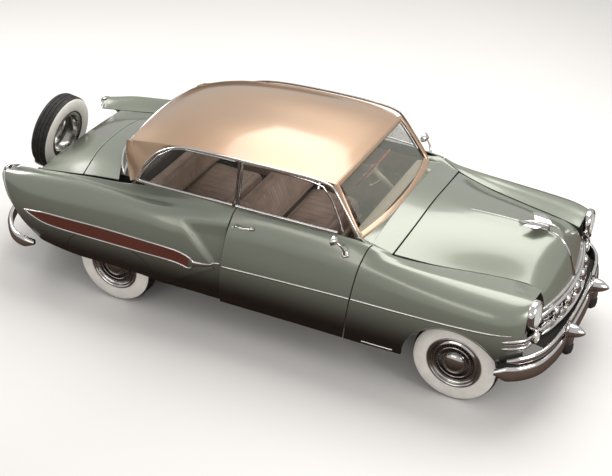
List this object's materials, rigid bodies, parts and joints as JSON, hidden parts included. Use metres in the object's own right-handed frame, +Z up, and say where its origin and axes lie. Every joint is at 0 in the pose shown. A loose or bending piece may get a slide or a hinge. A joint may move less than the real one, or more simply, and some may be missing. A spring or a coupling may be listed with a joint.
{
  "type": "two-door hardtop coupe of the 1950s",
  "caption": "Rounded two-door coupe with hinged doors, hood and trunk lid, steering front wheels and a spare wheel on a tilting carrier behind the trunk.",
  "frame": {"origin": "on the ground below the middle of the car's length and width", "axes": "+X to the front, +Y to the car's left, +Z up"},
  "size_m": [5.076, 1.8946, 1.5985],
  "materials": {
    "body_green": "gloss",
    "roof_champagne": "gloss",
    "window_glass": "clear",
    "bright_chrome": "polished",
    "wheel_chrome": "polished",
    "frame_black": "satin",
    "floor_metal": "satin",
    "lamp_red": "clear",
    "seat_leather": "satin",
    "cream_paint": "gloss",
    "engine_paint": "painted",
    "exhaust_steel": "dull",
    "tyre_rubber": "matte",
    "steering_red": "gloss"
  },
  "bodies": {
    "body": {"frame_rail_left": "frame_black", "frame_rail_right": "frame_black", "frame_cross": "frame_black", "spare_mount": "frame_black", "floor_pan": "floor_metal", "cowl": "body_green", "front_fender_left": "body_green", "front_fender_right": "body_green", "rear_quarter_left": "body_green", "rear_quarter_right": "body_green", "rear_deck": "body_green", "tail_panel": "body_green", "roof": "roof_champagne", "windshield": "window_glass", "rear_window": "window_glass", "quarter_windows": "window_glass", "grille": "bright_chrome", "radiator": "frame_black", "front_bumper": "bright_chrome", "rear_bumper": "bright_chrome", "headlamps": "bright_chrome", "tail_lamps": "lamp_red", "front_seat": "seat_leather", "rear_seat": "seat_leather", "dashboard": "cream_paint", "steering_column": "cream_paint", "engine_block": "engine_paint", "front_suspension": "frame_black", "rear_axle": "frame_black", "fuel_tank": "floor_metal", "exhaust": "exhaust_steel"},
    "hood": {"hood": "body_green"},
    "trunk_lid": {"trunk_lid": "body_green"},
    "spare": {"spare_carrier": "bright_chrome", "spare_wheel": "wheel_chrome", "spare_tyre": "tyre_rubber"},
    "door_left": {"door_left": "body_green", "door_glass_left": "window_glass"},
    "door_right": {"door_right": "body_green", "door_glass_right": "window_glass"},
    "knuckle_left": {"knuckle_left": "frame_black"},
    "knuckle_right": {"knuckle_right": "frame_black"},
    "wheel_front_left": {"wheel_front_left": "wheel_chrome", "tyre_front_left": "tyre_rubber"},
    "wheel_front_right": {"wheel_front_right": "wheel_chrome", "tyre_front_right": "tyre_rubber"},
    "wheel_rear_left": {"wheel_rear_left": "wheel_chrome", "tyre_rear_left": "tyre_rubber"},
    "wheel_rear_right": {"wheel_rear_right": "wheel_chrome", "tyre_rear_right": "tyre_rubber"},
    "steering_wheel": {"steering_wheel": "steering_red"}
  },
  "joints": [
    {"name": "door_left_hinge", "type": "hinge", "parent": "body", "child": "door_left", "pos_m": [0.945, 0.93, 0.72], "axis": [0, 0, -1], "range_deg": [0, 65]},
    {"name": "door_right_hinge", "type": "hinge", "parent": "body", "child": "door_right", "pos_m": [0.945, -0.93, 0.72], "axis": [0, 0, 1], "range_deg": [0, 65]},
    {"name": "hood_hinge", "type": "hinge", "parent": "body", "child": "hood", "pos_m": [1.178, 0, 1.156], "axis": [0, -1, 0], "range_deg": [0, 50]},
    {"name": "spare_tilt", "type": "hinge", "parent": "body", "child": "spare", "pos_m": [-2.405, 0, 0.56], "axis": [0, -1, 0], "range_deg": [0, 35]},
    {"name": "trunk_hinge", "type": "hinge", "parent": "body", "child": "trunk_lid", "pos_m": [-1.662, 0, 1.058], "axis": [0, 1, 0], "range_deg": [0, 56]},
    {"name": "steer_right", "type": "hinge", "parent": "body", "child": "knuckle_right", "pos_m": [1.71, -0.6, 0.333], "axis": [0, 0, 1], "range_deg": [-30, 30]},
    {"name": "steer_left", "type": "hinge", "parent": "body", "child": "knuckle_left", "pos_m": [1.71, 0.6, 0.333], "axis": [0, 0, 1], "range_deg": [-30, 30]},
    {"name": "steering_wheel_turn", "type": "hinge", "parent": "body", "child": "steering_wheel", "pos_m": [0.52, 0.37, 1.075], "axis": [-0.809, 0, 0.5878], "range_deg": [-540, 540]},
    {"name": "wheel_front_left_spin", "type": "hinge", "parent": "knuckle_left", "child": "wheel_front_left", "pos_m": [1.71, 0.72, 0.333], "axis": [0, 1, 0], "continuous": true},
    {"name": "wheel_front_right_spin", "type": "hinge", "parent": "knuckle_right", "child": "wheel_front_right", "pos_m": [1.71, -0.72, 0.333], "axis": [0, 1, 0], "continuous": true},
    {"name": "wheel_rear_left_spin", "type": "hinge", "parent": "body", "child": "wheel_rear_left", "pos_m": [-1.211, 0.746, 0.333], "axis": [0, 1, 0], "continuous": true},
    {"name": "wheel_rear_right_spin", "type": "hinge", "parent": "body", "child": "wheel_rear_right", "pos_m": [-1.211, -0.746, 0.333], "axis": [0, 1, 0], "continuous": true}
  ],
  "couplings": [
    {"joint": "trunk_hinge", "follows": "spare_tilt", "ratio": 1.6},
    {"joint": "steer_left", "follows": "steer_right", "ratio": 1},
    {"joint": "steering_wheel_turn", "follows": "steer_right", "ratio": 18}
  ]
}
